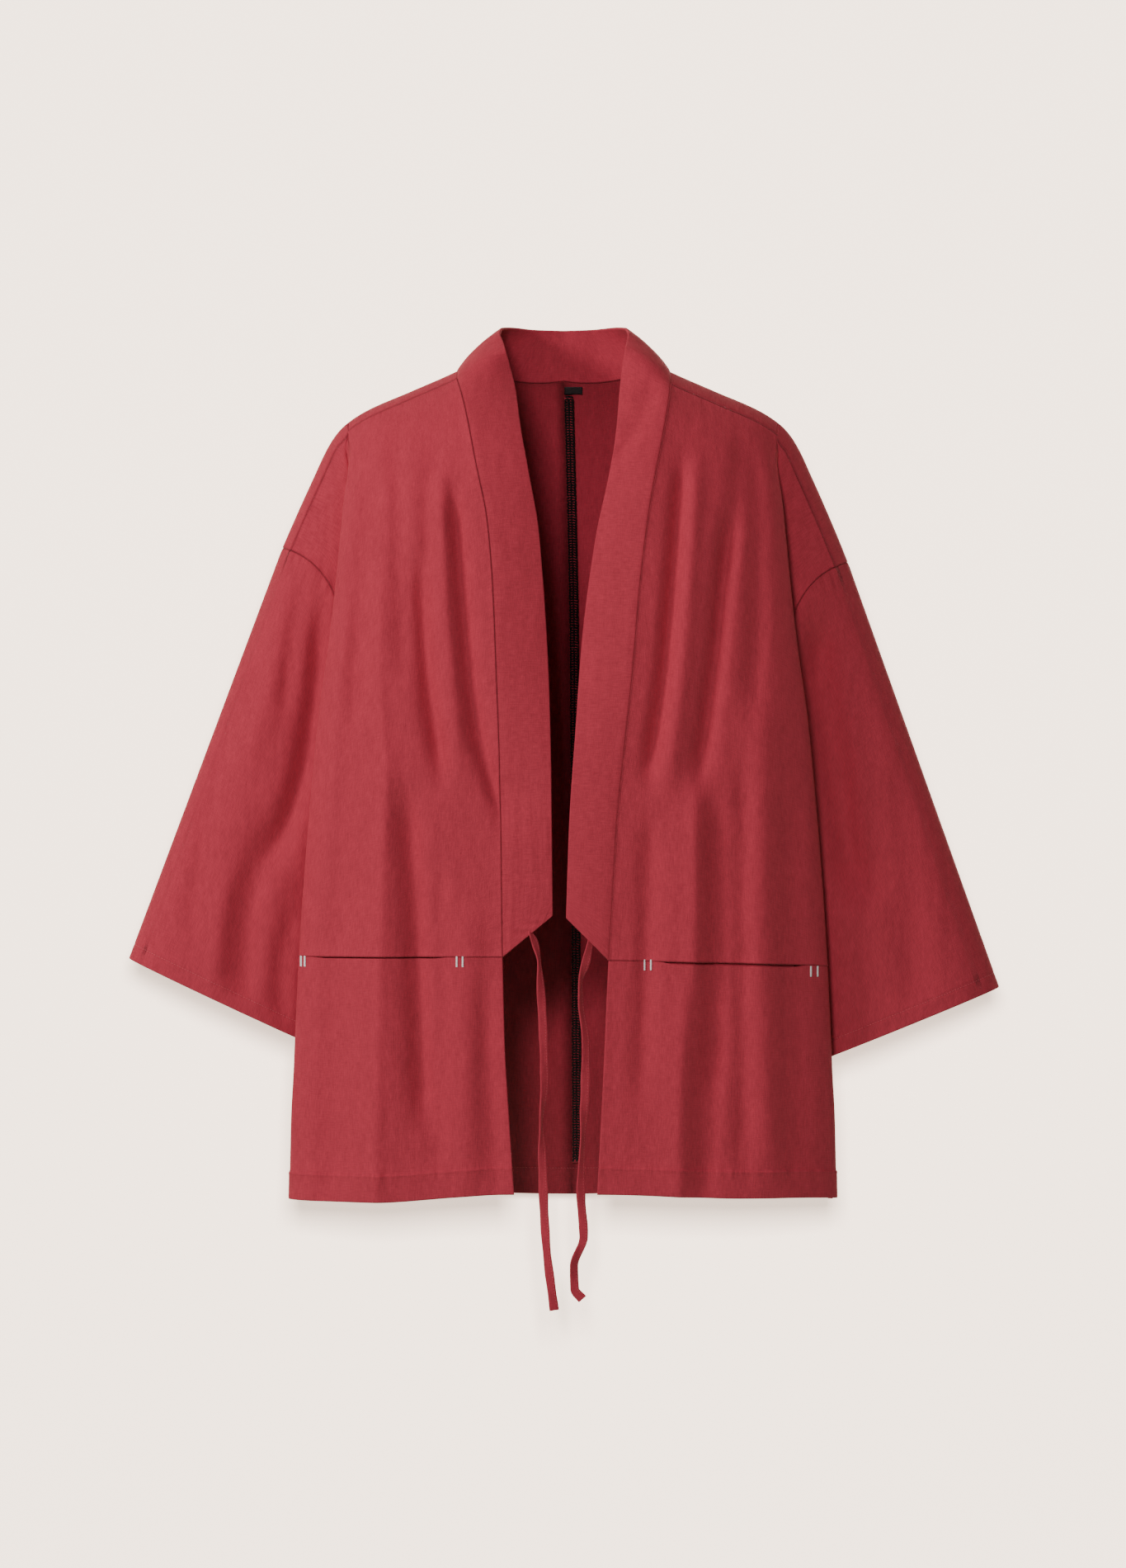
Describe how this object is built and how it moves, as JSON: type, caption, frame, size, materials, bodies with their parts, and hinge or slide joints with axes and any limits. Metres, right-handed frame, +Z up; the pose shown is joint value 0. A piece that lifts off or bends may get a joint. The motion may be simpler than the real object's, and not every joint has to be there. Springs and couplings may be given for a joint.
{
  "type": "kimono jacket",
  "caption": "Open-front red woven kimono jacket in its worn, hollow form: band collar, dropped shoulders, wide sleeves, seam pockets and two hanging ties.",
  "frame": {"origin": "middle of the neck at the top of the shoulders, where the wearer holds the jacket up", "axes": "+Z up, -Y out of the open front, +X towards the wearer's left"},
  "size_m": [0.7912, 0.2019, 0.8893],
  "materials": {
    "collar": "soft plain weave",
    "front_upper_right": "soft plain weave",
    "front_lower_right": "soft plain weave",
    "back_right": "soft plain weave",
    "sleeve_right": "soft plain weave",
    "pocket_bag_right": "soft plain weave",
    "tie_right": "soft plain weave",
    "bar_tack_right_1": "matt sewing thread",
    "bar_tack_right_2": "matt sewing thread",
    "bar_tack_right_3": "matt sewing thread",
    "bar_tack_right_4": "matt sewing thread",
    "front_upper_left": "soft plain weave",
    "front_lower_left": "soft plain weave",
    "back_left": "soft plain weave",
    "sleeve_left": "soft plain weave",
    "pocket_bag_left": "soft plain weave",
    "tie_left": "soft plain weave",
    "bar_tack_left_1": "matt sewing thread",
    "bar_tack_left_2": "matt sewing thread",
    "bar_tack_left_3": "matt sewing thread",
    "bar_tack_left_4": "matt sewing thread",
    "back_seam_allowance": "overlocked edge",
    "neck_label": "woven tape, blank"
  },
  "bodies": {
    "root": {"collar": "collar", "front_upper_right": "front_upper_right", "front_lower_right": "front_lower_right", "back_right": "back_right", "sleeve_right": "sleeve_right", "pocket_bag_right": "pocket_bag_right", "tie_right": "tie_right", "bar_tack_right_1": "bar_tack_right_1", "bar_tack_right_2": "bar_tack_right_2", "bar_tack_right_3": "bar_tack_right_3", "bar_tack_right_4": "bar_tack_right_4", "front_upper_left": "front_upper_left", "front_lower_left": "front_lower_left", "back_left": "back_left", "sleeve_left": "sleeve_left", "pocket_bag_left": "pocket_bag_left", "tie_left": "tie_left", "bar_tack_left_1": "bar_tack_left_1", "bar_tack_left_2": "bar_tack_left_2", "bar_tack_left_3": "bar_tack_left_3", "bar_tack_left_4": "bar_tack_left_4", "back_seam_allowance": "back_seam_allowance", "neck_label": "neck_label"}
  },
  "joints": []
}
